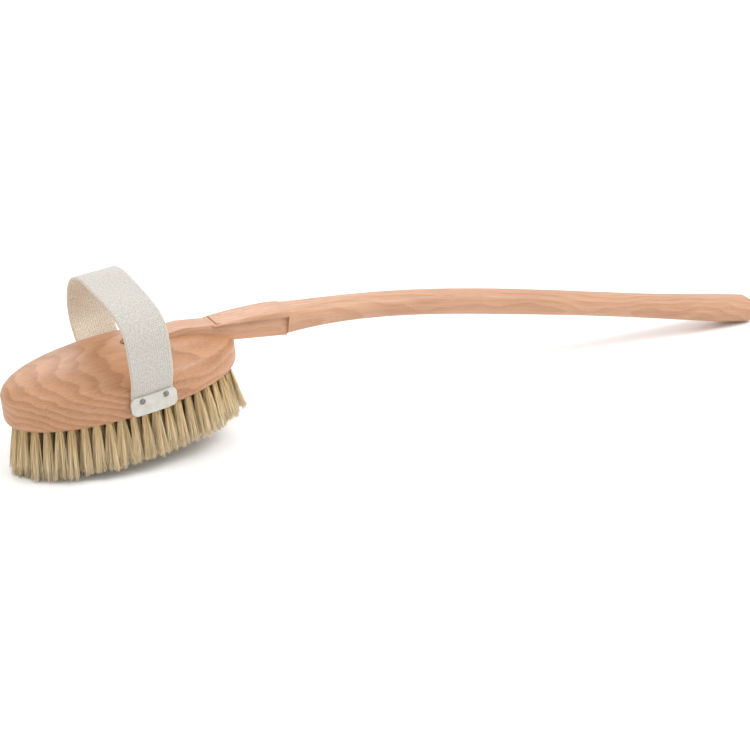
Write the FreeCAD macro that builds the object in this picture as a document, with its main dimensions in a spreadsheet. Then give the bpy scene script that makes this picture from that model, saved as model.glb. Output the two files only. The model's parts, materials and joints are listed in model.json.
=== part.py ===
import FreeCAD, Part
import Sketcher
import math
import os

from FreeCAD import Placement, Rotation, Vector

# Body dry brush: an oval beech head with bristle tufts, a cotton hand strap nailed over it,
# and a long curved beech handle whose dovetailed tongue slides into the top of the head.
#
# Parts are drawn in the head's own frame: +X to the handle, +Z up from the plane of the
# bristle tips, origin under the middle of the head. REST then lays the brush down as it
# stands on a table, on its nose tips and the end of its handle, with the origin on the
# table under the middle of its length.

os.makedirs("parts", exist_ok=True)
doc = FreeCAD.newDocument("body_dry_brush")
sheet = doc.addObject("Spreadsheet::Sheet", "Sizes")

SIZES = {
    # head
    "head_long": 130.0, "head_wide": 67.4, "rim_rise": 14.2, "dome_rise": 13.6,
    "top_tilt": 2.0, "base_round": 5.0, "rim_step": 0.08,
    # bristle tufts and the flat metal anchors that hold them
    "bristle_free": 27.3, "hole_bore": 3.6, "hole_deep": 8.0, "tuft_root": 3.54, "tuft_waist": 0.05,
    "tuft_tip": 4.6, "tuft_pitch": 6.4, "ring_step": 5.3, "ring_step_long": 6.8,
    "ring_inset": 5.6, "end_lean": 5.5,
    "anchor_wide": 4.2, "anchor_thick": 0.4, "anchor_tall": 2.4, "anchor_up": 1.2,
    # dovetail between head and handle
    "dove_slope": 12.5, "dove_from": 64.0, "dove_floor": 40.5, "dove_half": 7.5,
    "dove_flank": 10.0, "dove_fit": 0.15, "groove_end": -54.0, "groove_top": 16.0,
    "tongue_end": -46.0, "tongue_top": 8.4, "tongue_lip": 3.2, "tongue_bevel": -30.0,
    "neck_start": -13.0, "neck_under": 9.5, "shoulder": 31.0, "tip_round": 5.5,
    "relief_bore": 6.4, "relief_at": 5.8, "relief_floor": 44.0,
    # hand strap, its end plates and nails
    "strap_wide": 24.0, "strap_thick": 1.6, "strap_at": 3.5, "strap_foot": 31.0,
    "plate_wide": 26.0, "plate_tall": 10.2, "plate_thick": 1.2, "plate_foot": 30.2,
    "plate_round": 3.4, "nail_gap": 13.4, "nail_up": 38.0, "nail_shank": 1.6,
    "nail_long": 12.0, "nail_head": 3.2, "nail_dome": 0.8, "nail_fit": 0.04,
    # rest pose on the table
    "rest_pitch": 6.69, "rest_lift": 7.48, "rest_back": -166.12,
}

# Stations of the handle along the dovetail axis: distance out, centre height, width,
# thickness, corner rounding. The neck rides over the tongue up to the shoulder.
NECK = (
    (-13.0, 8.0, 14.0, 1.0, 0.45),
    (0.0, 9.8, 16.4, 2.0, 0.95),
    (12.0, 11.1, 16.4, 3.6, 1.7),
    (22.0, 11.75, 16.4, 4.9, 2.3),
    (31.0, 11.65, 16.4, 4.7, 2.3),
)
GRIP = (
    (31.0, 7.0, 16.4, 14.0, 3.0),
    (60.0, 9.1, 16.4, 13.0, 5.8),
    (100.0, 9.5, 16.2, 12.6, 6.0),
    (170.0, 4.7, 16.6, 13.2, 6.2),
    (240.0, -2.8, 16.4, 12.8, 6.1),
    (290.0, -8.6, 17.4, 13.6, 6.4),
    (325.0, -12.2, 18.8, 14.8, 6.9),
    (346.0, -14.0, 18.4, 14.0, 6.5),
)
STATION_SIZES = ("out", "up", "wide", "thick", "round")

# Mid-line of the strap's inner face over the head: across the head, and up.
STRAP_PATH = (
    (-33.7, 40.5), (-36.4, 50.0), (-37.0, 62.0), (-34.6, 76.0), (-22.0, 83.0), (0.0, 86.2),
    (17.0, 87.0), (31.0, 82.0), (39.5, 70.0), (40.6, 56.0), (33.7, 40.5),
)

# The dome is lofted through ovals, one for each equal step of a quarter turn.
DOME_LEVELS = 7
DOME_STEP = 14

RING_COUNT = 6
TUFT_SIDES = 20

row = 1
for alias, value in SIZES.items():
    sheet.set(f"A{row}", alias)
    sheet.set(f"B{row}", str(value))
    sheet.setAlias(f"B{row}", alias)
    row += 1
for prefix, stations in (("nk", NECK), ("gr", GRIP)):
    for number, station in enumerate(stations, 1):
        for what, value in zip(STATION_SIZES, station):
            sheet.set(f"A{row}", f"{prefix} {number} {what}")
            sheet.set(f"B{row}", str(value))
            sheet.setAlias(f"B{row}", f"{prefix}{number}_{what}")
            row += 1
doc.recompute()


def size(alias):
    return float(sheet.get(alias))


HALF_LONG = size("head_long") / 2
HALF_WIDE = size("head_wide") / 2
REST = Placement(Vector(size("rest_back"), 0, size("rest_lift")),
                 Rotation(Vector(0, 1, 0), -size("rest_pitch")))
DOVE = Placement(Vector(size("dove_from"), 0, size("dove_floor")),
                 Rotation(Vector(0, 1, 0), size("dove_slope")))


def origin_plane(body, role):
    """Return the body's own origin plane with this role, such as XY_Plane."""
    return next(f for f in body.Origin.OriginFeatures if f.Role == role)


def new_body(name):
    return doc.addObject("PartDesign::Body", name)


def new_sketch(body, name, role, offset=None):
    """Add a sketch on one of the body's origin planes, moved by the offset expressions."""
    sketch = body.newObject("Sketcher::SketchObject", name)
    sketch.AttachmentSupport = [(origin_plane(body, role), "")]
    sketch.MapMode = "FlatFace"
    for axis, expression in (offset or {}).items():
        sketch.setExpression(f"AttachmentOffset.Base.{axis}", expression)
    return sketch


def constrain(sketch, name, expression, *what):
    """Add a constraint that takes its value from the sheet."""
    index = sketch.addConstraint(Sketcher.Constraint(*what))
    sketch.renameConstraint(index, name)
    sketch.setExpression(f"Constraints.{name}", expression)


def polygon(sketch, points):
    """Draw a closed outline whose corners are pinned by sheet expressions."""
    count = len(points)
    spots = [Vector(float(doc_value(x)), float(doc_value(y)), 0) for x, y in points]
    for i in range(count):
        sketch.addGeometry(Part.LineSegment(spots[i], spots[(i + 1) % count]), False)
    for i in range(count):
        sketch.addConstraint(Sketcher.Constraint("Coincident", i, 2, (i + 1) % count, 1))
    for i, (x, y) in enumerate(points):
        for kind, axis, expression in (("DistanceX", "x", x), ("DistanceY", "y", y)):
            value = doc_value(expression)
            if abs(value) < 1e-9:
                where = -2 if kind == "DistanceX" else -1
                sketch.addConstraint(Sketcher.Constraint("PointOnObject", i, 1, where))
            else:
                constrain(sketch, f"{axis}{i}", expression, kind, -1, 1, i, 1, value)
    return sketch


def doc_value(expression):
    """Work out a sheet expression's number."""
    value = sheet.evalExpression(expression)
    return float(getattr(value, "Value", value))


def ellipse(sketch, long, wide):
    """Draw an ellipse about the sketch's origin, its two axes taken from the sheet."""
    sketch.addGeometry(Part.Ellipse(Vector(0, 0, 0), doc_value(long) / 2, doc_value(wide) / 2), False)
    sketch.exposeInternalGeometry(0)
    sketch.addConstraint(Sketcher.Constraint("Coincident", 0, 3, -1, 1))
    sketch.addConstraint(Sketcher.Constraint("Horizontal", 1))
    constrain(sketch, "long", long, "Distance", 1, doc_value(long))
    constrain(sketch, "wide", wide, "Distance", 2, doc_value(wide))


def rounded_box(sketch, wide, tall, corner):
    """Draw a rounded rectangle about the sketch's origin."""
    w, t, r = doc_value(wide) / 2, doc_value(tall) / 2, doc_value(corner)
    sides = (((-w + r, -t), (w - r, -t)), ((w, -t + r), (w, t - r)),
             ((w - r, t), (-w + r, t)), ((-w, t - r), (-w, -t + r)))
    for start, end in sides:
        sketch.addGeometry(Part.LineSegment(Vector(*start, 0), Vector(*end, 0)), False)
    centres = ((w - r, -t + r), (w - r, t - r), (-w + r, t - r), (-w + r, -t + r))
    for i, centre in enumerate(centres):
        circle = Part.Circle(Vector(*centre, 0), Vector(0, 0, 1), r)
        turn = math.radians(90 * (i - 1))
        sketch.addGeometry(Part.ArcOfCircle(circle, turn, turn + math.pi / 2), False)
    for i in range(4):
        sketch.addConstraint(Sketcher.Constraint("Tangent", i, 2, 4 + i, 1))
        sketch.addConstraint(Sketcher.Constraint("Tangent", 4 + i, 2, (i + 1) % 4, 1))
        sketch.addConstraint(Sketcher.Constraint("Horizontal" if i % 2 == 0 else "Vertical", i))
    for i in range(1, 4):
        sketch.addConstraint(Sketcher.Constraint("Equal", 4, 4 + i))
    constrain(sketch, "corner", corner, "Radius", 4, r)
    constrain(sketch, "right", f"{wide} / 2", "DistanceX", -1, 1, 1, 2, w)
    constrain(sketch, "left", f"{wide} / 2", "DistanceX", 3, 1, -1, 1, w)
    constrain(sketch, "top", f"{tall} / 2", "DistanceY", -1, 1, 2, 2, t)
    constrain(sketch, "bottom", f"{tall} / 2", "DistanceY", 0, 1, -1, 1, t)


def pad(body, name, sketch, length, symmetric=False):
    feature = body.newObject("PartDesign::Pad", name)
    feature.Profile = sketch
    feature.setExpression("Length", length)
    if symmetric:
        feature.SideType = "Symmetric"
    return feature


def pocket_all(body, name, sketch):
    """Cut the sketch through the whole body, both ways."""
    feature = body.newObject("PartDesign::Pocket", name)
    feature.Profile = sketch
    feature.Type = "ThroughAll"
    feature.SideType = "Symmetric"
    return feature


def revolve(body, name, sketch):
    """Turn the sketch a full circle about its own vertical axis."""
    feature = body.newObject("PartDesign::Revolution", name)
    feature.Profile = sketch
    feature.ReferenceAxis = (sketch, ["V_Axis"])
    feature.Angle = 360
    return feature


def fillet(body, name, base, radius, wanted):
    """Round the edges of the base feature that pass the test."""
    doc.recompute()
    names = [f"Edge{i}" for i, edge in enumerate(base.Shape.Edges, 1) if wanted(edge)]
    feature = body.newObject("PartDesign::Fillet", name)
    feature.Base = (base, names)
    feature.setExpression("Radius", radius)
    return feature


def boolean(kind, name, base, tools):
    """Fuse the tools to the base, or cut them from it."""
    if kind == "Fuse":
        result = doc.addObject("Part::MultiFuse", name)
        result.Shapes = [base, *tools]
        return result
    if len(tools) > 1:
        fused = doc.addObject("Part::MultiFuse", f"{name}_tools")
        fused.Shapes = tools
        tools = [fused]
    result = doc.addObject("Part::Cut", name)
    result.Base = base
    result.Tool = tools[0]
    return result


# ---- Head: a straight-sided oval base with a shallow domed top ----

core = new_body("head_core")
outline = new_sketch(core, "head_outline", "XY_Plane", {"z": "Sizes.bristle_free"})
ellipse(outline, "Sizes.head_long", "Sizes.head_wide")
core_pad = pad(core, "head_wall", outline, "Sizes.rim_rise + 5")
fillet(core, "head_base_round", core_pad, "Sizes.base_round",
       lambda edge: edge.BoundBox.ZMax < size("bristle_free") + 0.1)
slope = new_sketch(core, "rim_slope", "XZ_Plane", {"y": "Sizes.bristle_free + Sizes.rim_rise"})
polygon(slope, [("-Sizes.head_long", "Sizes.head_long * tan(Sizes.top_tilt)"),
                ("Sizes.head_long", "-Sizes.head_long * tan(Sizes.top_tilt)"),
                ("Sizes.head_long", "Sizes.head_long"), ("-Sizes.head_long", "Sizes.head_long")])
pocket_all(core, "rim_cut", slope)
levels = []
for number in range(DOME_LEVELS):
    turn = DOME_STEP * number
    level = new_sketch(core, f"dome_level_{number}", "XY_Plane")
    level.AttachmentOffset = Placement(Vector(), Rotation(Vector(0, 1, 0), size("top_tilt")))
    up = f"sin({turn}) * Sizes.dome_rise"
    level.setExpression("AttachmentOffset.Base.x", f"{up} * sin(Sizes.top_tilt)")
    level.setExpression("AttachmentOffset.Base.z", "Sizes.bristle_free + Sizes.rim_rise"
                                                   f" + {up} * cos(Sizes.top_tilt)")
    ellipse(level, f"cos({turn}) * (Sizes.head_long - Sizes.rim_step)",
            f"cos({turn}) * (Sizes.head_wide - Sizes.rim_step)")
    levels.append(level)
dome = core.newObject("PartDesign::AdditiveLoft", "head_dome")
dome.Profile = levels[0]
dome.Sections = levels[1:]
dome.Ruled = False

# ---- Dovetail groove: cut from the handle end of the head to a rounded end by the middle ----


def dovetail(body, name, end, until, height, grow):
    """Add a dovetail bar with a round inner end, lying along the body's X axis."""
    half = f"Sizes.dove_half + {grow}"
    top = f"{half} - {height} * tan(Sizes.dove_flank)"
    section = new_sketch(body, f"{name}_section", "YZ_Plane", {"z": end})
    polygon(section, [(f"-({half})", "0"), (half, "0"), (top, height), (f"-({top})", height)])
    pad(body, f"{name}_bar", section, f"{until} - {end}")
    nose = new_sketch(body, f"{name}_nose", "XZ_Plane", {"x": end})
    polygon(nose, [("0", "0"), (half, "0"), (top, height), ("0", height)])
    revolve(body, f"{name}_round", nose)


groove = new_body("groove_tool")
dovetail(groove, "groove", "Sizes.groove_end", "Sizes.groove_top", "Sizes.groove_top",
         "Sizes.dove_fit")
groove.Placement = DOVE * Placement(Vector(0, 0, -size("dove_fit")), Rotation())
relief = doc.addObject("Part::Cylinder", "groove_relief")
relief.setExpression("Radius", "Sizes.relief_bore / 2")
relief.setExpression("Height", "Sizes.head_wide")
relief.setExpression("Placement.Base.x", "Sizes.relief_at")
relief.setExpression("Placement.Base.z", "Sizes.relief_floor")

# ---- Handle: dovetailed tongue, ramped neck and long curved grip ----

handle = new_body("handle")
dovetail(handle, "tongue", "Sizes.tongue_end", "Sizes.shoulder", "Sizes.neck_under", "0")
crest = new_sketch(handle, "tongue_crest", "XZ_Plane")
polygon(crest, [("Sizes.tongue_end - 20", "Sizes.tongue_lip"),
                ("Sizes.tongue_end - Sizes.dove_half", "Sizes.tongue_lip"),
                ("Sizes.tongue_bevel", "Sizes.tongue_top"),
                ("Sizes.neck_start + 2", "Sizes.tongue_top"),
                ("Sizes.neck_start + 2", "20"), ("Sizes.tongue_end - 20", "20")])
pocket_all(handle, "tongue_trim", crest)


def loft(body, name, stations, prefix):
    """Add a smooth bar through rounded sections that stand at these stations."""
    sections = []
    for number in range(1, len(stations) + 1):
        at = f"Sizes.{prefix}{number}_"
        section = new_sketch(body, f"{name}_section_{number}", "YZ_Plane",
                             {"z": at + "out", "y": at + "up"})
        rounded_box(section, at + "wide", at + "thick", at + "round")
        sections.append(section)
    feature = body.newObject("PartDesign::AdditiveLoft", name)
    feature.Profile = sections[0]
    feature.Sections = sections[1:]
    feature.Ruled = False
    return feature


loft(handle, "neck", NECK, "nk")
grip = loft(handle, "grip", GRIP, "gr")
fillet(handle, "grip_end_round", grip, "Sizes.tip_round",
       lambda edge: edge.BoundBox.XMin > GRIP[-1][0] - 0.01)

# ---- Hand strap: a woven band bent over the head, its feet following the head's wall ----

WALL_RADIUS = HALF_LONG ** 2 / HALF_WIDE
WALL_CENTRE = WALL_RADIUS - HALF_WIDE
STRAP_AT = size("strap_at")
SIDES = {"front": -1, "back": 1}


def wall_spot(x, depth, side):
    """Point at x on the arc that stands this far outside the head's wall, front or back."""
    radius = WALL_RADIUS + depth
    return Vector(x, side * (math.sqrt(radius ** 2 - x ** 2) - WALL_CENTRE), 0)


def wall_sector(sketch, inner, outer, width, side):
    """Draw the closed slice between two arcs along the wall, this wide about the strap."""
    left, right = STRAP_AT - width / 2, STRAP_AT + width / 2
    first = sketch.GeometryCount
    arcs = []
    for depth in (inner, outer):
        ends = [wall_spot(x, depth, side) for x in (left, STRAP_AT, right)]
        arcs.append(ends)
        sketch.addGeometry(Part.Arc(*ends), False)
    sketch.addGeometry(Part.LineSegment(arcs[0][0], arcs[1][0]), False)
    sketch.addGeometry(Part.LineSegment(arcs[0][2], arcs[1][2]), False)
    sketch.addConstraint(Sketcher.Constraint("Block", first))
    sketch.addConstraint(Sketcher.Constraint("Block", first + 1))
    for line, end in ((first + 2, 0), (first + 3, 2)):
        for tip, arc in ((1, first), (2, first + 1)):
            spot = arcs[arc - first][end]
            start = sketch.getPoint(arc, 1)
            near = 1 if (start - spot).Length < 1e-6 else 2
            sketch.addConstraint(Sketcher.Constraint("Coincident", line, tip, arc, near))


band = new_body("strap_band")
route = new_sketch(band, "strap_route", "YZ_Plane", {"z": "Sizes.strap_at"})
curve = Part.BSplineCurve()
curve.interpolate([Vector(y, z, 0) for y, z in STRAP_PATH],
                  InitialTangent=Vector(-0.15, 1, 0), FinalTangent=Vector(-0.4, -1, 0))
route.addGeometry(curve, False)
end_cut = new_sketch(band, "strap_end", "XY_Plane",
                     {"x": "Sizes.strap_at", "y": "-Sizes.head_wide / 2 - Sizes.strap_thick / 2",
                      "z": f"{STRAP_PATH[0][1]}"})
polygon(end_cut, [("-Sizes.strap_wide / 2", "-Sizes.strap_thick / 2"),
                  ("Sizes.strap_wide / 2", "-Sizes.strap_thick / 2"),
                  ("Sizes.strap_wide / 2", "Sizes.strap_thick / 2"),
                  ("-Sizes.strap_wide / 2", "Sizes.strap_thick / 2")])
sweep = band.newObject("PartDesign::AdditivePipe", "strap_arch")
sweep.Profile = end_cut
sweep.Spine = route
feet = []
for name, side in SIDES.items():
    foot = new_body(f"strap_foot_{name}")
    foot_slice = new_sketch(foot, f"strap_foot_{name}_slice", "XY_Plane", {"z": "Sizes.strap_foot"})
    wall_sector(foot_slice, 0, size("strap_thick"), size("strap_wide"), side)
    pad(foot, f"strap_foot_{name}_pad", foot_slice,
        f"{STRAP_PATH[0][1]} + 1.2 - Sizes.strap_foot")
    feet.append(foot)
strap_blank = boolean("Fuse", "strap_blank", band, feet)

# ---- Plastic end plates: thin rounded plates curved to the wall over the strap's feet ----

plates = {}
for name, side in SIDES.items():
    plate = new_body(f"plate_{name}_blank")
    slice_ = new_sketch(plate, f"plate_{name}_slice", "XY_Plane", {"z": "Sizes.plate_foot"})
    wall_sector(slice_, size("strap_thick"), size("strap_thick") + size("plate_thick"),
                size("plate_wide"), side)
    plate_pad = pad(plate, f"plate_{name}_pad", slice_, "Sizes.plate_tall")
    fillet(plate, f"plate_{name}_round", plate_pad, "Sizes.plate_round",
           lambda edge: edge.Length < 1.5 * size("plate_thick"))
    plates[name] = plate

# ---- Nails: round heads on the plates, shanks through plate and strap into the wood ----

nails = {}
nail_tools = {"front": [], "back": []}
skin = size("strap_thick") + size("plate_thick")
for name, side in SIDES.items():
    for place, step in (("left", -0.5), ("right", 0.5)):
        x = STRAP_AT + step * size("nail_gap")
        seat = wall_spot(x, skin, side)
        turn = math.degrees(math.asin(x / (WALL_RADIUS + skin)))
        aim = Rotation(Vector(0, 0, 1), turn if side < 0 else 180 - turn)
        where = Placement(Vector(seat.x, seat.y, size("nail_up")), aim)
        nail = new_body(f"nail_{name}_{place}")
        side_view = new_sketch(nail, f"nail_{name}_{place}_half", "XY_Plane")
        polygon(side_view, [("0", "-Sizes.nail_dome"),
                            ("Sizes.nail_head * 0.3", "-Sizes.nail_dome * 0.8"),
                            ("Sizes.nail_head / 2", "-Sizes.nail_dome * 0.2"),
                            ("Sizes.nail_head / 2", "0"), ("Sizes.nail_shank / 2", "0"),
                            ("Sizes.nail_shank / 2", "Sizes.nail_long - Sizes.nail_shank"),
                            ("0", "Sizes.nail_long")])
        revolve(nail, f"nail_{name}_{place}_turned", side_view)
        nail.Placement = REST * where
        nails[nail.Name] = nail
        bore = doc.addObject("Part::Cylinder", f"nail_bore_{name}_{place}")
        bore.setExpression("Radius", "Sizes.nail_shank / 2 + Sizes.nail_fit / 2")
        bore.setExpression("Height", "Sizes.nail_long + 1")
        bore.Placement = where * Placement(Vector(0, -1, 0), Rotation(Vector(1, 0, 0), -90))
        nail_tools[name].append(bore)

strap = boolean("Cut", "strap", strap_blank,
                [core, *plates.values(), *nail_tools["front"], *nail_tools["back"]])
plate_parts = {name: boolean("Cut", f"strap_plate_{name}", plates[name], nail_tools[name])
               for name in SIDES}

# ---- Bristle tufts in rings, folded round flat metal anchors in blind holes ----

FREE = size("bristle_free")
HOLE_TOP = FREE + size("hole_deep")


def ring_spots(ring):
    """Evenly spaced hole centres along one oval ring; the innermost ring is a straight row."""
    long = HALF_LONG - size("ring_inset") - (ring - 1) * size("ring_step_long")
    wide = HALF_WIDE - size("ring_inset") - (ring - 1) * size("ring_step")
    pitch = size("tuft_pitch")
    if ring == RING_COUNT:
        count = 2 * int(long // pitch) + 1
        return [(pitch * (i - count // 2), 0) for i in range(count)]
    oval = Part.Ellipse(Vector(0, 0, 0), long, wide).toShape()
    count = round(oval.Length / pitch)
    return [(p.x, p.y) for p in Part.Wire([oval]).discretize(Number=count + 1)[:-1]]


def tuft_ring(x, y, z, radius):
    """The outline of a bundle of bristles across its length."""
    turns = [2 * math.pi * side / TUFT_SIDES for side in range(TUFT_SIDES + 1)]
    return Part.makePolygon([Vector(x + radius * math.cos(turn), y + radius * math.sin(turn), z)
                             for turn in turns])


def tuft_shape(x, y):
    """A bundle: round root in the drilled hole, many-sided flare down to the tips."""
    root_radius, tip_radius = size("tuft_root") / 2, size("tuft_tip") / 2
    lean = FREE * math.tan(math.radians(size("end_lean"))) * x / HALF_LONG
    waist = root_radius - size("tuft_waist")
    rings = [tuft_ring(x, y, FREE, waist), tuft_ring(x + lean, y, 0, tip_radius)]
    root = Part.makeCylinder(root_radius, size("hole_deep"), Vector(x, y, FREE))
    return root.fuse(Part.makeLoft(rings, True, True)).cut(anchor_shape(x, y))


def anchor_shape(x, y):
    """Flat metal strip across the hole, a little wider than it, that bites into the wood."""
    wide, thick, tall = size("anchor_wide"), size("anchor_thick"), size("anchor_tall")
    corner = Vector(x - wide / 2, y - thick / 2, HOLE_TOP - size("anchor_up") - tall)
    return Part.makeBox(wide, thick, tall, corner)


def coded_part(name, shapes, placement=None):
    """Keep a group of like solids, placed at spots worked out above, as one object."""
    part = doc.addObject("Part::Feature", name)
    part.Shape = Part.makeCompound(shapes)
    part.Placement = placement or Placement()
    return part


bristle_parts = []
hole_shapes = []
for ring in range(1, RING_COUNT + 1):
    spots = ring_spots(ring)
    bristle_parts.append(coded_part(f"tuft_ring_{ring}", [tuft_shape(*s) for s in spots], REST))
    bristle_parts.append(coded_part(f"anchor_ring_{ring}", [anchor_shape(*s) for s in spots], REST))
    hole_shapes += [Part.makeCylinder(size("hole_bore") / 2, size("hole_deep") + 1,
                                      Vector(x, y, FREE - 1)) for x, y in spots]
holes = coded_part("tuft_holes", hole_shapes)

head = boolean("Cut", "head_block", core,
               [groove, relief, holes, *nail_tools["front"], *nail_tools["back"]])

for placed in (head, strap, *plate_parts.values()):
    placed.Placement = REST
handle.Placement = REST * DOVE
doc.recompute()

# ---- Check and write every piece ----

pieces = [head, handle, strap, *plate_parts.values(), *nails.values(), *bristle_parts]
for piece in pieces:
    piece.Label = piece.Name
for obj in doc.Objects:
    if "Invalid" in obj.State or "Error" in obj.State:
        raise RuntimeError(f"{obj.Name} did not compute: {obj.State}")
for piece in pieces:
    shape = piece.Shape
    if shape.isNull() or not shape.isValid() or not shape.Solids:
        raise RuntimeError(f"{piece.Name} is not a good solid")
    shape.exportStep(f"parts/{piece.Name}.step")
    print(piece.Name, len(shape.Solids), round(shape.Volume, 1), shape.BoundBox)
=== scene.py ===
"""The looks of a long-handled body brush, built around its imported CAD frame."""

import json
import math
import random

import bmesh
import bpy
import numpy as np
from mathutils import Matrix, Vector


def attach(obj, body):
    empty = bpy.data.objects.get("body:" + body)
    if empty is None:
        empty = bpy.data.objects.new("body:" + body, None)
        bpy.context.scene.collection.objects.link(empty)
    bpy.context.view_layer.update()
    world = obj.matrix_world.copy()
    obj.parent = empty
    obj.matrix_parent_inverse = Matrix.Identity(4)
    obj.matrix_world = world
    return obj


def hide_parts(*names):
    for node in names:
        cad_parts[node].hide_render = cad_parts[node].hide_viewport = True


MM = 0.001

# Bristles, in millimetres unless a value counts something or is a share.
BRISTLES_PER_TUFT = 150
STRANDS_PER_TUFT = 12
BRISTLE_RADIUS = (0.17, 0.17, 0.16, 0.14, 0.08)  # from root to tip
BRISTLE_SIDES = 3
FREE_LENGTH = 27.3     # from the head's underside to the trimmed tips
ROOT_DEPTH = 2.5       # how far up its hole a bristle starts
ROOT_FILL = 1.62       # radius of a tuft at its root
TIP_FILL = 5.3         # radius over which its strands fan out
STRAND_SPREAD = 1.15   # radius of one strand at its tip
ROOT_LOOSE = 0.55      # share of a bristle's root place that is its own, not its strand's
TIP_GATHER = 0.45      # share of a strand's tip place that is free of its root place
TUFT_LEAN = 0.35       # sideways lean of a whole tuft
BEND = 0.5             # bow of a single bristle
SHORTEST = 2.2         # how much a bristle may fall short of the trim
FLOOR_GAP = 0.1        # clearance of the lowest tips over the table
FLARE = 0.62           # power by which a tuft widens from root to tip
END_SPLAY = 2.6        # outward lean of the tufts at the head's two ends
STRAND_TINT = 0.5      # spread of tone between strands, and between bristles
STRAND_TINT_SHARE = 0.6
TUFT_TINT = 0.25       # spread of tone between tufts
BRISTLE_SEED = 11
BRISTLE_GRAIN = (2200.0, 2200.0, 260.0)
END_BAND = 0.1         # a tuft solid's vertices this near its top or bottom mark its ends
WELD = 0.002

# Strap: inner face of the loop in the head's own frame, from the front foot over to the back one.
STRAP_PATH = ((-33.72, 30.9), (-33.72, 40.3), (-36.4, 50), (-37, 62), (-34.6, 76), (-22, 83),
              (0, 86.2), (17, 87), (31, 82), (39.5, 70), (40.6, 56), (33.72, 40.3), (33.72, 30.9))
STRAP_WIDE = 24.0
STRAP_THICK = 1.5
STRAP_CENTRE = 3.5
STRAP_MIDDLE = Vector((0, 55))
STRAP_ROWS = 260
STRAP_COLUMNS = 32
PATH_STEPS = 40        # fine steps for each span of the path
SELVAGE = 0.8          # width of the rounded edge
SELVAGE_CORD = 0.12    # how far the edge's outer cord stands proud
RIPPLE = 0.18          # slack waves in the free loop
RIPPLE_ALONG = 7.0
RIPPLE_ACROSS = 9.0
HEAD_HALF_LONG = 65.0
HEAD_HALF_WIDE = 33.7
FOOT_TOP = 40.3        # below this the strap lies flat on the wall
FOOT_FREE = 52.0       # above this it no longer follows the wall's curve

# Weave of the strap, in millimetres, and its tone.
WARP_PITCH = 1.25
WEFT_PITCH = 1.1
WARP_WOBBLE = 0.5
WEFT_WOBBLE = 0.7
SELVAGE_FROM = 10.9
SELVAGE_FULL = 11.6
# painted warm bounce light: this factor lightens and warms the strap's inner face
INNER_BOUNCE_LIGHT = (1.44, 1.38, 1.26, 1.0)

# Wood figure: noise is stretched along the grain; these are its turns for each millimetre.
SWAY_SCALE = (0.012, 0.035, 0.035)
STREAK_SCALE = (0.05, 1.6, 1.6)
FIBRE_SCALE = (0.25, 7.0, 7.0)
BLOTCH_SCALE = (0.018, 0.05, 0.05)
RAY_SCALE = (0.42, 3.6, 3.6)
SWAY_REACH = 20.0      # millimetres by which the rings wander
LATE_WOOD = 0.88       # share of a ring's width where its dark edge is darkest
STREAK_WEIGHT = 1.1
BLOTCH_WEIGHT = 0.9
FIBRE_WEIGHT = 0.35
FLECK_WEIGHT = 0.38
HEAD_RINGS = {"ring_gap": 4.4, "ring_depth": 0.42}
HANDLE_RINGS = {"ring_gap": 3.1, "ring_depth": 0.34}

# Sockets of the Mix node that carry colour.
MIX_FIRST, MIX_SECOND, MIX_RESULT = 6, 7, 2

# Camera at the height and turn of the studio view.
CAMERA_AIM = Vector((-0.046, -0.050, 0.0394))
CAMERA_TURN = math.radians(-28.98)
CAMERA_RISE = math.radians(24.31)
CAMERA_ROLL = math.radians(0.99)
CAMERA_AWAY = 1.4
CAMERA_LENS = 127.24
CAMERA_SENSOR = 36.0

# Softboxes: name, place, side and power, in metres and watts.
LIGHTS = (("key", (0.9, -0.6, 1.5), 1.0, 19.0),
          ("rim", (-0.72, -0.13, 1.1), 0.35, 2.6),
          ("back", (0.2, 1.4, 1.1), 1.2, 10.0))
LIGHT_AIM_HEIGHT = 40
SURROUND_STRENGTH = 0.9
FLOOR_HALF = 6.0


def linear(red, green, blue):
    """Scene-linear colour of an 8-bit display colour."""
    def channel(value):
        value /= 255
        return value / 12.92 if value <= 0.04045 else ((value + 0.055) / 1.055) ** 2.4
    return (channel(red), channel(green), channel(blue), 1.0)


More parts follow.
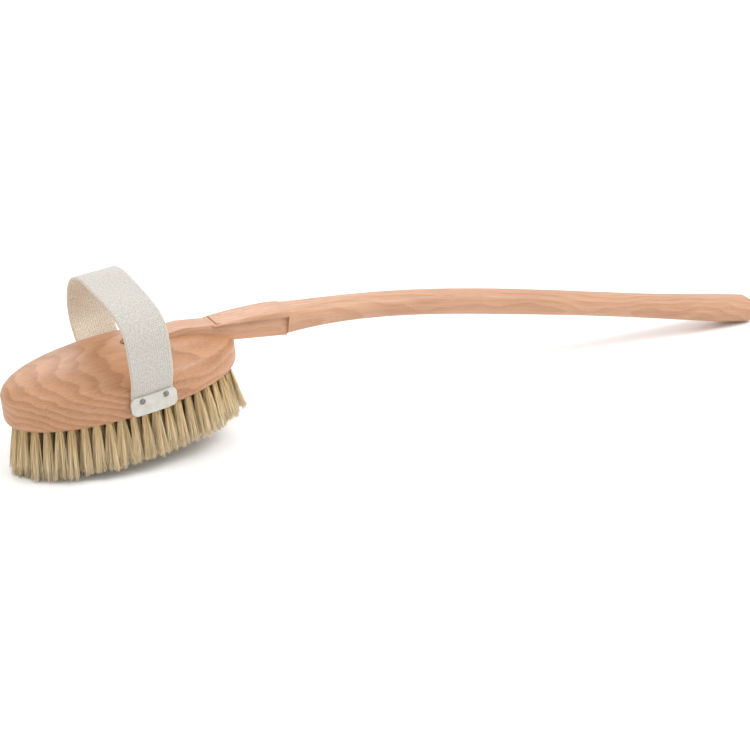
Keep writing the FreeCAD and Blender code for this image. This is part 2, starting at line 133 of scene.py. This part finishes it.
class Nodes:
    """A material's node tree, built one call at a time; each call returns an output socket."""

    def __init__(self, name):
        self.material = bpy.data.materials.new(name)
        self.material.use_nodes = True
        self.tree = self.material.node_tree
        self.shader = self.tree.nodes["Principled BSDF"]

    def put(self, socket, value):
        if isinstance(value, bpy.types.NodeSocket):
            self.tree.links.new(value, socket)
        elif value is not None:
            socket.default_value = value

    def node(self, kind, **settings):
        made = self.tree.nodes.new(kind)
        for key, value in settings.items():
            setattr(made, key, value)
        return made

    def math(self, operation, first, second=None, third=None):
        made = self.node("ShaderNodeMath", operation=operation)
        for socket, value in zip(made.inputs, (first, second, third)):
            self.put(socket, value)
        return made.outputs[0]

    def split(self, vector):
        made = self.node("ShaderNodeSeparateXYZ")
        self.put(made.inputs[0], vector)
        return made.outputs

    def join(self, x, y, z):
        made = self.node("ShaderNodeCombineXYZ")
        for socket, value in zip(made.inputs, (x, y, z)):
            self.put(socket, value)
        return made.outputs[0]

    def scaled(self, vector, factors):
        made = self.node("ShaderNodeVectorMath", operation="MULTIPLY")
        self.put(made.inputs[0], vector)
        self.put(made.inputs[1], factors)
        return made.outputs[0]

    def noise(self, vector, scale, detail=2.0, roughness=0.5):
        """Noise over the vector, stretched by a scale of its own for each axis."""
        made = self.node("ShaderNodeTexNoise")
        self.put(made.inputs["Vector"], self.scaled(vector, scale))
        made.inputs["Scale"].default_value = 1.0
        made.inputs["Detail"].default_value = detail
        made.inputs["Roughness"].default_value = roughness
        return made.outputs["Fac"]

    def centred(self, value):
        """Noise from 0 to 1, moved to lie about 0."""
        return self.math("SUBTRACT", value, 0.5)

    def ramp(self, value, low, high, to_low=0.0, to_high=1.0, smooth=True):
        made = self.node("ShaderNodeMapRange")
        made.interpolation_type = "SMOOTHSTEP" if smooth else "LINEAR"
        for name, number in (("From Min", low), ("From Max", high),
                             ("To Min", to_low), ("To Max", to_high)):
            made.inputs[name].default_value = number
        self.put(made.inputs["Value"], value)
        return made.outputs[0]

    def mix(self, factor, first, second, blend="MIX"):
        made = self.node("ShaderNodeMix", data_type="RGBA", blend_type=blend)
        self.put(made.inputs["Factor"], factor)
        self.put(made.inputs[MIX_FIRST], first)
        self.put(made.inputs[MIX_SECOND], second)
        return made.outputs[MIX_RESULT]

    def bump(self, height, strength, distance):
        made = self.node("ShaderNodeBump")
        made.inputs["Strength"].default_value = strength
        made.inputs["Distance"].default_value = distance
        self.put(made.inputs["Height"], height)
        self.put(self.shader.inputs["Normal"], made.outputs[0])

    def finish(self, base_color, roughness, specular_ior_level=0.5):
        self.put(self.shader.inputs["Base Color"], base_color)
        self.put(self.shader.inputs["Roughness"], roughness)
        self.shader.inputs["Specular IOR Level"].default_value = specular_ior_level
        return self.material


def object_millimetres(nodes, origin, tilt):
    """Coordinates in millimetres in a frame at origin, turned by tilt about Y."""
    place = nodes.node("ShaderNodeMapping", vector_type="TEXTURE")
    place.inputs["Location"].default_value = origin
    place.inputs["Rotation"].default_value = (0.0, tilt, 0.0)
    place.inputs["Scale"].default_value = (MM, MM, MM)
    spot = nodes.node("ShaderNodeTexCoord")
    nodes.put(place.inputs["Vector"], spot.outputs["Object"])
    return place.outputs[0]


def beech(name, spot_of, ring_field, pale, dark, ring_gap, ring_depth):
    """Fine-sanded beech: growth rings, fibre streaks, ray flecks and slow changes of tone."""
    nodes = Nodes(name)
    spot = spot_of(nodes)
    x, y, z = nodes.split(spot)
    sway = nodes.centred(nodes.noise(spot, SWAY_SCALE, detail=3.0))
    field = ring_field(nodes, x, y, z)
    field = nodes.math("ADD", field, nodes.math("MULTIPLY", sway, SWAY_REACH))
    phase = nodes.math("FRACT", nodes.math("DIVIDE", field, ring_gap))
    rise = nodes.ramp(phase, 0.05, LATE_WOOD)
    fall = nodes.ramp(phase, LATE_WOOD, 1.0, 1.0, 0.0)
    ring = nodes.math("MULTIPLY", rise, fall)
    streak = nodes.noise(spot, STREAK_SCALE, detail=3.0, roughness=0.6)
    fibre = nodes.noise(spot, FIBRE_SCALE, roughness=0.7)
    blotch = nodes.noise(spot, BLOTCH_SCALE)
    fleck = nodes.ramp(nodes.noise(spot, RAY_SCALE, detail=1.0), 0.66, 0.76)
    tone = nodes.math("MULTIPLY", ring, ring_depth)
    for part, weight in ((streak, STREAK_WEIGHT), (blotch, BLOTCH_WEIGHT), (fibre, FIBRE_WEIGHT)):
        tone = nodes.math("MULTIPLY_ADD", nodes.centred(part), weight, tone)
    colour = nodes.mix(nodes.ramp(tone, -0.35, 0.95, smooth=False), pale, dark)
    colour = nodes.mix(nodes.math("MULTIPLY", fleck, FLECK_WEIGHT), colour, linear(112, 72, 48))
    grain = nodes.math("MULTIPLY_ADD", fibre, 0.7, nodes.math("MULTIPLY", fleck, -0.5))
    nodes.bump(grain, 0.35, 0.08 * MM)
    gloss = nodes.math("ADD", streak, nodes.math("MULTIPLY", fleck, 0.3))
    shine = nodes.ramp(gloss, 0.3, 0.9, 0.36, 0.56)
    return nodes.finish(base_color=colour, roughness=shine, specular_ior_level=0.42)


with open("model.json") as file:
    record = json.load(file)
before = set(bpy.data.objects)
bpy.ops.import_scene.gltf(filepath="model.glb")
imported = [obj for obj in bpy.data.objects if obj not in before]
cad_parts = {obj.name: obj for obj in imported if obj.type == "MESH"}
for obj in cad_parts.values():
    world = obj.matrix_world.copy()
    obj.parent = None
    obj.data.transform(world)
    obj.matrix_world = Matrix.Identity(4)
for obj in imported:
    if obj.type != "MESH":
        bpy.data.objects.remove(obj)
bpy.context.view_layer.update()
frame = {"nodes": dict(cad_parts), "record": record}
mount = next(m for m in frame["record"]["mounts"] if m["name"] == "bristle_face")
HEAD_ORIGIN = Vector(mount["pos_m"])
HEAD_UP = -Vector(mount["axis"]).normalized()
HEAD_TILT = math.atan2(HEAD_UP.x, HEAD_UP.z)
HEAD = Matrix.Translation(HEAD_ORIGIN) @ Matrix.Rotation(HEAD_TILT, 4, "Y")
HEAD_INVERSE = HEAD.inverted()


def head_spot(x, y, z):
    """A point given in millimetres in the head's frame, in metres in the row frame."""
    return HEAD @ Vector((x * MM, y * MM, z * MM))


def link_piece(name, mesh, material):
    """An object in the scene that shows the mesh in one material."""
    mesh.materials.append(material)
    made = bpy.data.objects.new(name, mesh)
    bpy.context.scene.collection.objects.link(made)
    return made


def new_piece(name, build, material):
    """A mesh object from a finished bmesh."""
    mesh = bpy.data.meshes.new(name)
    build.to_mesh(mesh)
    build.free()
    return link_piece(name, mesh, material)


def middle(points):
    """Middle of the points' extent across and along the head."""
    return Vector([(min(p[axis] for p in points) + max(p[axis] for p in points)) / 2
                   for axis in (0, 1)])


def tuft_places(node_name):
    """Root and tip centres, in the head's millimetres, of every tuft solid in a CAD node."""
    work = bmesh.new()
    work.from_mesh(frame["nodes"][node_name].data)
    bmesh.ops.remove_doubles(work, verts=work.verts, dist=WELD * MM)
    seen, places = set(), []
    for start in work.verts:
        if start in seen:
            continue
        seen.add(start)
        island, front = [], [start]
        while front:
            vert = front.pop()
            island.append(HEAD_INVERSE @ vert.co / MM)
            for edge in vert.link_edges:
                other = edge.other_vert(vert)
                if other not in seen:
                    seen.add(other)
                    front.append(other)
        top = max(p.z for p in island)
        low = min(p.z for p in island)
        places.append((middle([p for p in island if p.z > top - END_BAND]),
                       middle([p for p in island if p.z < low + END_BAND])))
    work.free()
    return places


def disc(rng, radius):
    """A random point in a disc."""
    away, turn = radius * math.sqrt(rng.random()), rng.uniform(0, 2 * math.pi)
    return away * math.cos(turn), away * math.sin(turn)


def grow_ring(node_name, material, rng):
    """One mesh of separate bristles for all tufts of a CAD ring."""
    points, faces, tints, lengths = [], [], [], []
    steps = len(BRISTLE_RADIUS)
    for root, tip in tuft_places(node_name):
        strands = [(disc(rng, 1.0), disc(rng, TIP_FILL - STRAND_SPREAD),
                    rng.uniform(-STRAND_TINT, STRAND_TINT)) for _ in range(STRANDS_PER_TUFT)]
        tuft_tint = rng.uniform(-TUFT_TINT, TUFT_TINT)
        lean = (rng.uniform(-TUFT_LEAN, TUFT_LEAN), rng.uniform(-TUFT_LEAN, TUFT_LEAN))
        outward = END_SPLAY * (tip.x / HEAD_HALF_LONG) ** 3
        for number in range(BRISTLES_PER_TUFT):
            fan, gather, shade = strands[number % STRANDS_PER_TUFT]
            base = disc(rng, 1.0)
            start = [(base[axis] * ROOT_LOOSE + fan[axis] * (1 - ROOT_LOOSE)) * ROOT_FILL
                     for axis in (0, 1)]
            loose = disc(rng, STRAND_SPREAD)
            end = [gather[axis] * TIP_GATHER + fan[axis] * TIP_FILL * (1 - TIP_GATHER)
                   + loose[axis] + lean[axis] for axis in (0, 1)]
            # The head is tilted on the table, so the tips there are cut where the table is.
            reach = (tip.x + end[0] + outward) * math.sin(HEAD_TILT)
            lowest = (FLOOR_GAP - HEAD_ORIGIN.z / MM + reach) / math.cos(HEAD_TILT)
            cut = max(0.0, lowest) + rng.random() ** 2 * SHORTEST
            bow = disc(rng, BEND)
            tint = (tuft_tint + shade * STRAND_TINT_SHARE
                    + rng.uniform(-STRAND_TINT, STRAND_TINT))
            first = len(points)
            twist = rng.uniform(0, 2 * math.pi)
            for step, radius in enumerate(BRISTLE_RADIUS):
                along = step / (steps - 1)
                height = (FREE_LENGTH + ROOT_DEPTH) * (1 - along) + cut * along
                free = max(0.0, (FREE_LENGTH - height) / FREE_LENGTH)
                flare = free ** FLARE
                sway = math.sin(math.pi * along)
                x, y = (root[axis] + (tip[axis] - root[axis]) * free + start[axis] * (1 - flare)
                        + end[axis] * flare + bow[axis] * sway for axis in (0, 1))
                x += outward * free
                for side in range(BRISTLE_SIDES):
                    turn = twist + 2 * math.pi * side / BRISTLE_SIDES
                    points.append(head_spot(x + radius * math.cos(turn),
                                            y + radius * math.sin(turn), height))
                    tints.append(tint)
                    lengths.append(along)
            for step in range(steps - 1):
                for side in range(BRISTLE_SIDES):
                    a = first + step * BRISTLE_SIDES + side
                    b = first + step * BRISTLE_SIDES + (side + 1) % BRISTLE_SIDES
                    faces.append((a, b, b + BRISTLE_SIDES, a + BRISTLE_SIDES))
            last = first + (steps - 1) * BRISTLE_SIDES
            faces.append(tuple(range(last, last + BRISTLE_SIDES)))
    name = node_name.replace("tuft", "bristle")
    mesh = bpy.data.meshes.new(name)
    mesh.from_pydata(points, [], faces)
    mesh.attributes.new("tint", "FLOAT", "POINT").data.foreach_set("value", tints)
    mesh.attributes.new("along", "FLOAT", "POINT").data.foreach_set("value", lengths)
    mesh.shade_smooth()
    ring = link_piece(name, mesh, material)
    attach(ring, "head")
    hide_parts(node_name)


def bristle_material():
    """Natural bristle: straw, with painted shade that browns it towards the root, each strand a
    little different.
    """
    nodes = Nodes("natural_bristle")
    tint = nodes.node("ShaderNodeAttribute", attribute_name="tint").outputs["Fac"]
    along = nodes.node("ShaderNodeAttribute", attribute_name="along").outputs["Fac"]
    spot = nodes.node("ShaderNodeTexCoord").outputs["Object"]
    grain = nodes.noise(spot, BRISTLE_GRAIN)
    # painted shade: darker and browner towards the root, inside the tuft, paler towards the tips
    body = nodes.mix(nodes.ramp(along, 0.1, 0.9), linear(208, 176, 124), linear(238, 220, 184))
    warm = nodes.ramp(nodes.math("ADD", tint, nodes.centred(grain)), -1.0, 1.0)
    body = nodes.mix(warm, body, linear(232, 206, 160))
    pale = nodes.ramp(tint, 0.3, 0.9, 0.0, 0.6)
    body = nodes.mix(pale, body, linear(246, 234, 206))
    return nodes.finish(base_color=body, roughness=0.55, specular_ior_level=0.35)


def smooth_path(points, count):
    """Even steps along a smooth curve through the points."""
    spots = [Vector(p) for p in points]
    fine = []
    for index in range(len(spots) - 1):
        before = spots[max(index - 1, 0)]
        here, after = spots[index], spots[index + 1]
        beyond = spots[min(index + 2, len(spots) - 1)]
        straight = index in (0, len(spots) - 2)
        for step in range(PATH_STEPS):
            t = step / PATH_STEPS
            if straight:
                fine.append(here.lerp(after, t))
                continue
            fine.append(0.5 * (2 * here + (after - before) * t
                               + (2 * before - 5 * here + 4 * after - beyond) * t * t
                               + (3 * here - before - 3 * after + beyond) * t ** 3))
    fine.append(spots[-1])
    reach = [0.0]
    for a, b in zip(fine, fine[1:]):
        reach.append(reach[-1] + (b - a).length)
    even = []
    for row in range(count + 1):
        want = reach[-1] * row / count
        place = max(1, min(np.searchsorted(reach, want), len(fine) - 1))
        span = reach[place] - reach[place - 1]
        even.append(fine[place - 1].lerp(fine[place], (want - reach[place - 1]) / span))
    return even, reach[-1]


def wall_depth(x):
    """How far the head's side wall falls back from its widest part at x."""
    return HEAD_HALF_WIDE * (1 - math.sqrt(1 - (x / HEAD_HALF_LONG) ** 2))


def make_strap(material):
    """The webbing loop, with rounded selvages and feet that follow the curved wall."""
    path, length = smooth_path(STRAP_PATH, STRAP_ROWS)
    work = bmesh.new()
    uv = work.loops.layers.uv.new("weave")
    inner = work.verts.layers.float.new("inner")
    half = STRAP_WIDE / 2
    section = []
    for column in range(STRAP_COLUMNS + 1):
        across = -half + STRAP_WIDE * column / STRAP_COLUMNS
        rim = max(0.0, (abs(across) - half + SELVAGE) / SELVAGE)
        rounded = STRAP_THICK / 2 * math.sqrt(max(0.0, 1 - rim ** 2))
        section.append((across, rounded + SELVAGE_CORD * rim * (1 - rim)))
    loop_spots = section + [(a, -h) for a, h in reversed(section[1:-1])]
    rows, marks = [], []
    for number, spot in enumerate(path):
        before, after = path[max(number - 1, 0)], path[min(number + 1, len(path) - 1)]
        forward = (after - before).normalized()
        outward = Vector((-forward.y, forward.x))
        if outward.dot(spot - STRAP_MIDDLE) < 0:
            outward = -outward
        hug = 1 - min(1.0, max(0.0, (spot.y - FOOT_TOP) / (FOOT_FREE - FOOT_TOP)))
        hug = hug * hug * (3 - 2 * hug)
        side = 1 if spot.x > 0 else -1
        run = length * number / STRAP_ROWS
        row = []
        for across, rise in loop_spots:
            ripple = (1 - hug) * RIPPLE * math.sin(run / RIPPLE_ALONG + across / RIPPLE_ACROSS)
            fall = (wall_depth(STRAP_CENTRE + across) - wall_depth(0)) * hug * side
            y = spot.x + outward.x * (STRAP_THICK / 2 + rise + ripple) - fall
            z = spot.y + outward.y * (STRAP_THICK / 2 + rise + ripple)
            vert = work.verts.new(head_spot(STRAP_CENTRE + across, y, z))
            vert[inner] = 1.0 if rise < 0 else 0.0
            row.append(vert)
        rows.append(row)
        marks.append(run)
    around = len(loop_spots)
    for number in range(len(rows) - 1):
        for place in range(around):
            beside = (place + 1) % around
            face = work.faces.new((rows[number][place], rows[number][beside],
                                   rows[number + 1][beside], rows[number + 1][place]))
            spots = ((place, number), (beside, number), (beside, number + 1), (place, number + 1))
            for loop, (at, row) in zip(face.loops, spots):
                loop[uv].uv = (loop_spots[at][0], marks[row])
    for row in (rows[0], rows[-1]):
        work.faces.new(row)
    bmesh.ops.recalc_face_normals(work, faces=work.faces)
    strap = new_piece("hand_strap", work, material)
    strap.data.shade_smooth()
    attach(strap, "head")
    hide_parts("strap")


def webbing_material():
    """Undyed cotton webbing in plain weave, flecked, with a denser warm selvage."""
    nodes = Nodes("cotton_webbing")
    spot = nodes.node("ShaderNodeUVMap", uv_map="weave").outputs["UV"]
    u, v, _ = nodes.split(spot)
    wobble = nodes.centred(nodes.noise(spot, (0.35, 0.35, 1.0)))
    warp = nodes.math("MULTIPLY_ADD", wobble, WARP_WOBBLE,
                      nodes.math("MULTIPLY", u, 2 * math.pi / WARP_PITCH))
    weft = nodes.math("MULTIPLY_ADD", wobble, WEFT_WOBBLE,
                      nodes.math("MULTIPLY", v, 2 * math.pi / WEFT_PITCH))
    wave_u, wave_v = (nodes.math("SINE", nodes.math("MULTIPLY", angle, 0.5))
                      for angle in (warp, weft))
    ridge_u, ridge_v = (nodes.math("ABSOLUTE", wave) for wave in (wave_u, wave_v))
    which = nodes.ramp(nodes.math("MULTIPLY", wave_u, wave_v), -0.15, 0.15)
    height = nodes.split(nodes.mix(which, nodes.join(ridge_u, ridge_u, ridge_u),
                                   nodes.join(ridge_v, ridge_v, ridge_v)))[0]
    fleck = nodes.noise(spot, (1.1, 0.75, 1.0), detail=3.0, roughness=0.7)
    soil = nodes.noise(spot, (0.09, 0.05, 1.0))
    colour = nodes.mix(nodes.ramp(fleck, 0.35, 0.72), linear(200, 199, 195), linear(178, 169, 157))
    # painted shade: the low places of the weave, between the threads, are darkened towards brown
    colour = nodes.mix(nodes.ramp(height, 0.0, 0.55, 0.55, 0.0), colour, linear(146, 130, 108))
    colour = nodes.mix(nodes.ramp(soil, 0.45, 0.8, 0.0, 0.25), colour, linear(196, 180, 158))
    rim = nodes.ramp(nodes.math("ABSOLUTE", u), SELVAGE_FROM, SELVAGE_FULL, 0.0, 0.55)
    colour = nodes.mix(rim, colour, linear(206, 186, 166))
    # painted warm bounce light from the wood, laid on the strap's inner face
    inner = nodes.node("ShaderNodeAttribute", attribute_name="inner").outputs["Fac"]
    warm = nodes.mix(1.0, colour, INNER_BOUNCE_LIGHT, blend="MULTIPLY")
    colour = nodes.mix(inner, colour, warm)
    fuzz = nodes.noise(spot, (9.0, 9.0, 1.0))
    nodes.bump(nodes.math("MULTIPLY_ADD", fuzz, 0.35, height), 0.7, 0.25 * MM)
    nodes.finish(base_color=colour, roughness=0.9, specular_ior_level=0.2)
    nodes.shader.inputs["Sheen Weight"].default_value = 0.25
    nodes.shader.inputs["Sheen Roughness"].default_value = 0.5
    return nodes.material


def ivory_material():
    """Moulded ivory plastic, satin, faintly uneven."""
    nodes = Nodes("ivory_plastic")
    spot = object_millimetres(nodes, HEAD_ORIGIN, HEAD_TILT)
    cloud = nodes.noise(spot, (0.25, 0.25, 0.25), detail=3.0)
    pitting = nodes.noise(spot, (3.5, 3.5, 3.5))
    colour = nodes.mix(nodes.ramp(cloud, 0.3, 0.7), linear(196, 195, 187), linear(187, 183, 172))
    nodes.bump(pitting, 0.25, 0.05 * MM)
    nodes.finish(base_color=colour, roughness=nodes.ramp(cloud, 0.3, 0.7, 0.36, 0.5))
    nodes.shader.inputs["Subsurface Weight"].default_value = 0.12
    nodes.shader.inputs["Subsurface Radius"].default_value = (0.002, 0.0016, 0.001)
    return nodes.material


def steel_material(name, bright, dull, roughness):
    """Drawn steel: fine scratches, darker where it has tarnished."""
    nodes = Nodes(name)
    spot = object_millimetres(nodes, HEAD_ORIGIN, HEAD_TILT)
    scratch = nodes.noise(spot, (2.0, 9.0, 9.0))
    tarnish = nodes.noise(spot, (1.1, 1.1, 1.1), detail=3.0)
    colour = nodes.mix(nodes.ramp(tarnish, 0.35, 0.7), bright, dull)
    nodes.bump(scratch, 0.3, 0.03 * MM)
    nodes.shader.inputs["Metallic"].default_value = 1.0
    rough = nodes.ramp(scratch, 0.3, 0.7, roughness - 0.08, roughness + 0.12)
    return nodes.finish(base_color=colour, roughness=rough)


def head_rings(nodes, x, y, z):
    """Distance from a pith under the head, dipped to the handle, which gives arched figure."""
    depth = nodes.math("MULTIPLY_ADD", x, -0.12, nodes.math("SUBTRACT", y, 6.0))
    height = nodes.math("MULTIPLY_ADD", x, 0.3, nodes.math("ADD", z, 30.0))
    squares = nodes.math("MULTIPLY_ADD", depth, depth, nodes.math("MULTIPLY", height, height))
    return nodes.math("SQRT", squares)


def handle_rings(nodes, x, y, z):
    """Nearly flat layers that run the length of the handle."""
    tilt = nodes.math("MULTIPLY", x, 0.018)
    layer = nodes.math("ADD", nodes.math("MULTIPLY", y, 0.75), nodes.math("MULTIPLY", z, 0.45))
    return nodes.math("ADD", layer, tilt)


def handle_spot(nodes):
    """Millimetre coordinates with the handle's own bow taken out of their height."""
    verts = np.array([v.co[:] for v in frame["nodes"]["handle"].data.vertices]) / MM
    bow = np.polyfit(verts[:, 0], verts[:, 2], 3)
    spot = object_millimetres(nodes, (0.0, 0.0, 0.0), 0.0)
    x, y, z = nodes.split(spot)
    rise = float(bow[0])
    for term in bow[1:]:
        rise = nodes.math("MULTIPLY_ADD", rise, x, float(term))
    return nodes.join(x, y, nodes.math("SUBTRACT", z, rise))


def dress(node_name, material):
    """Gives a carried-over CAD node its finish."""
    node = frame["nodes"][node_name]
    node.data.materials.clear()
    node.data.materials.append(material)


head_wood = beech("beech_head", lambda nodes: object_millimetres(nodes, HEAD_ORIGIN, HEAD_TILT),
                  head_rings, linear(196, 148, 112), linear(142, 94, 60), **HEAD_RINGS)
handle_wood = beech("beech_handle", handle_spot, handle_rings,
                    linear(198, 154, 124), linear(160, 114, 84), **HANDLE_RINGS)
dress("head_block", head_wood)
dress("handle", handle_wood)
ivory = ivory_material()
nail = steel_material("nail_steel", linear(140, 137, 132), linear(96, 93, 90), 0.38)
wire = steel_material("anchor_wire", linear(180, 178, 172), linear(150, 147, 142), 0.3)
for name in frame["nodes"]:
    if name.startswith("strap_plate"):
        dress(name, ivory)
    elif name.startswith("nail"):
        dress(name, nail)
    elif name.startswith("anchor"):
        dress(name, wire)

bristle = bristle_material()
rng = random.Random(BRISTLE_SEED)
for name in sorted(n for n in frame["nodes"] if n.startswith("tuft_ring")):
    grow_ring(name, bristle, rng)
make_strap(webbing_material())


def place_camera():
    """Long lens, above and to the left of the bristle head."""
    back = Vector((math.sin(CAMERA_TURN) * math.cos(CAMERA_RISE),
                   -math.cos(CAMERA_TURN) * math.cos(CAMERA_RISE), math.sin(CAMERA_RISE)))
    level = Vector((math.cos(CAMERA_TURN), math.sin(CAMERA_TURN), 0.0))
    upright = back.cross(level)
    right = math.cos(CAMERA_ROLL) * level + math.sin(CAMERA_ROLL) * upright
    up = back.cross(right)
    data = bpy.data.cameras.new("camera")
    data.lens = CAMERA_LENS
    data.sensor_width = CAMERA_SENSOR
    camera = bpy.data.objects.new("camera", data)
    bpy.context.scene.collection.objects.link(camera)
    turn = Matrix((right, up, back)).transposed().to_4x4()
    camera.matrix_world = Matrix.Translation(CAMERA_AIM + back * CAMERA_AWAY) @ turn
    bpy.context.scene.camera = camera


def add_light(name, spot, aim, size, power):
    """A square softbox that looks at aim."""
    data = bpy.data.lights.new(name, "AREA")
    data.shape = "SQUARE"
    data.size = size
    data.energy = power
    lamp = bpy.data.objects.new(name, data)
    bpy.context.scene.collection.objects.link(lamp)
    lamp.location = spot
    lamp.rotation_euler = (Vector(aim) - Vector(spot)).to_track_quat("-Z", "Y").to_euler()


def studio():
    """Pale floor, white surroundings and the softboxes."""
    nodes = Nodes("studio_floor")
    spot = nodes.node("ShaderNodeTexCoord").outputs["Object"]
    cloud = nodes.noise(spot, (1.5, 1.5, 1.5), detail=1.0)
    colour = nodes.mix(cloud, linear(250, 250, 250), linear(247, 247, 247))
    nodes.finish(base_color=colour, roughness=0.9, specular_ior_level=0.1)
    work = bmesh.new()
    bmesh.ops.create_grid(work, x_segments=1, y_segments=1, size=FLOOR_HALF)
    new_piece("floor", work, nodes.material)
    world = bpy.data.worlds.new("studio")
    bpy.context.scene.world = world
    world.use_nodes = True
    backdrop = world.node_tree.nodes["Background"]
    backdrop.inputs["Color"].default_value = (1.0, 1.0, 1.0, 1.0)
    backdrop.inputs["Strength"].default_value = SURROUND_STRENGTH
    for name, spot, size, power in LIGHTS:
        add_light(name, spot, head_spot(0, 0, LIGHT_AIM_HEIGHT), size, power)
    bpy.context.scene.view_settings.view_transform = "Standard"


studio()
place_camera()
